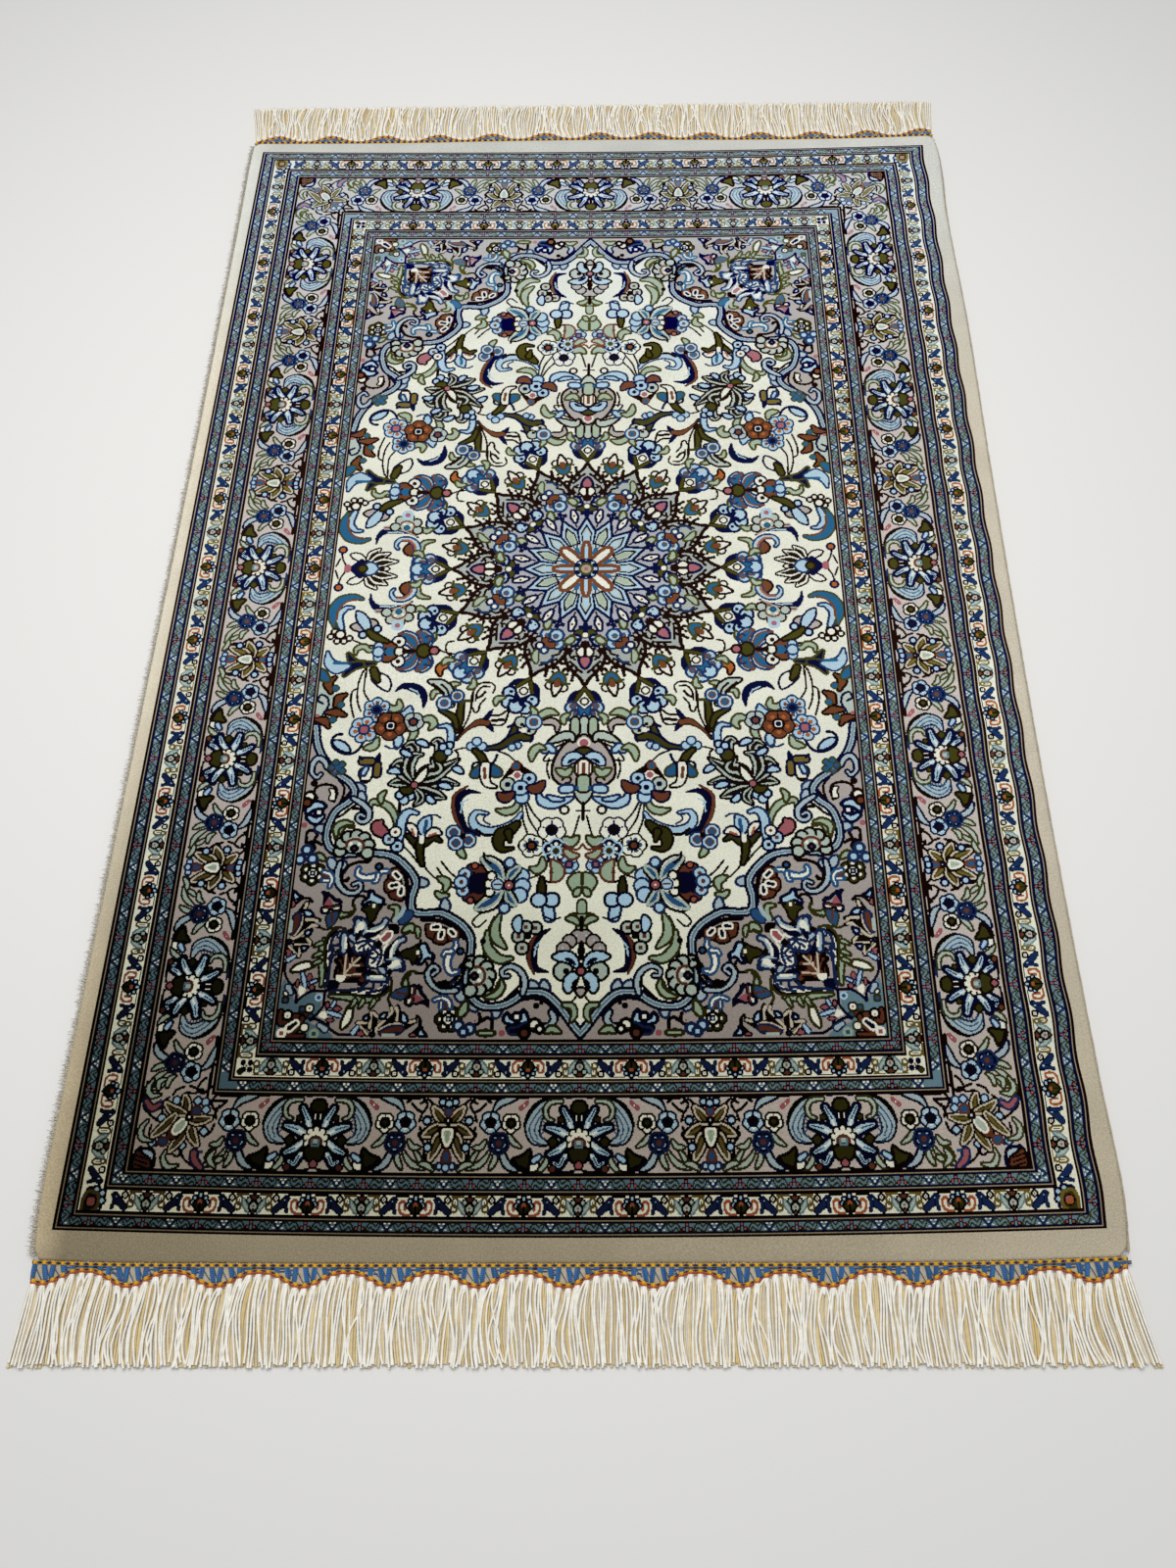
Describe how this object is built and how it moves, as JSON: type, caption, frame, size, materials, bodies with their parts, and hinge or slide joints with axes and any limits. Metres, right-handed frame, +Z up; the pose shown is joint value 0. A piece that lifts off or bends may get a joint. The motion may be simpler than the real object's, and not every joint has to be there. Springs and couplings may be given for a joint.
{
  "type": "persian rug",
  "caption": "Flat rectangular woven pile rug with overcast side edges, scalloped crocheted headings and a fringe at both short ends.",
  "frame": {"origin": "centre of the underside, on the floor", "axes": "+Z up out of the pile, +Y along the rug to its far end, +X to the right seen from the near end"},
  "size_m": [1.024, 1.688, 0.008],
  "materials": {
    "pile": "dense cut pile with a soft silky sheen, woven in ivory, slate blue, navy, taupe, olive and rust",
    "binding": "cream yarn wound tightly over the edge cord",
    "crochet": "blue zigzag yarns between gold and rust chain stitches",
    "fringe": "smooth twisted ivory cords"
  },
  "bodies": {
    "root": {"rug": "pile", "edge_binding_left": "binding", "edge_binding_right": "binding", "heading_near": "crochet", "heading_far": "crochet", "fringe_near": "fringe", "fringe_far": "fringe"}
  },
  "joints": []
}
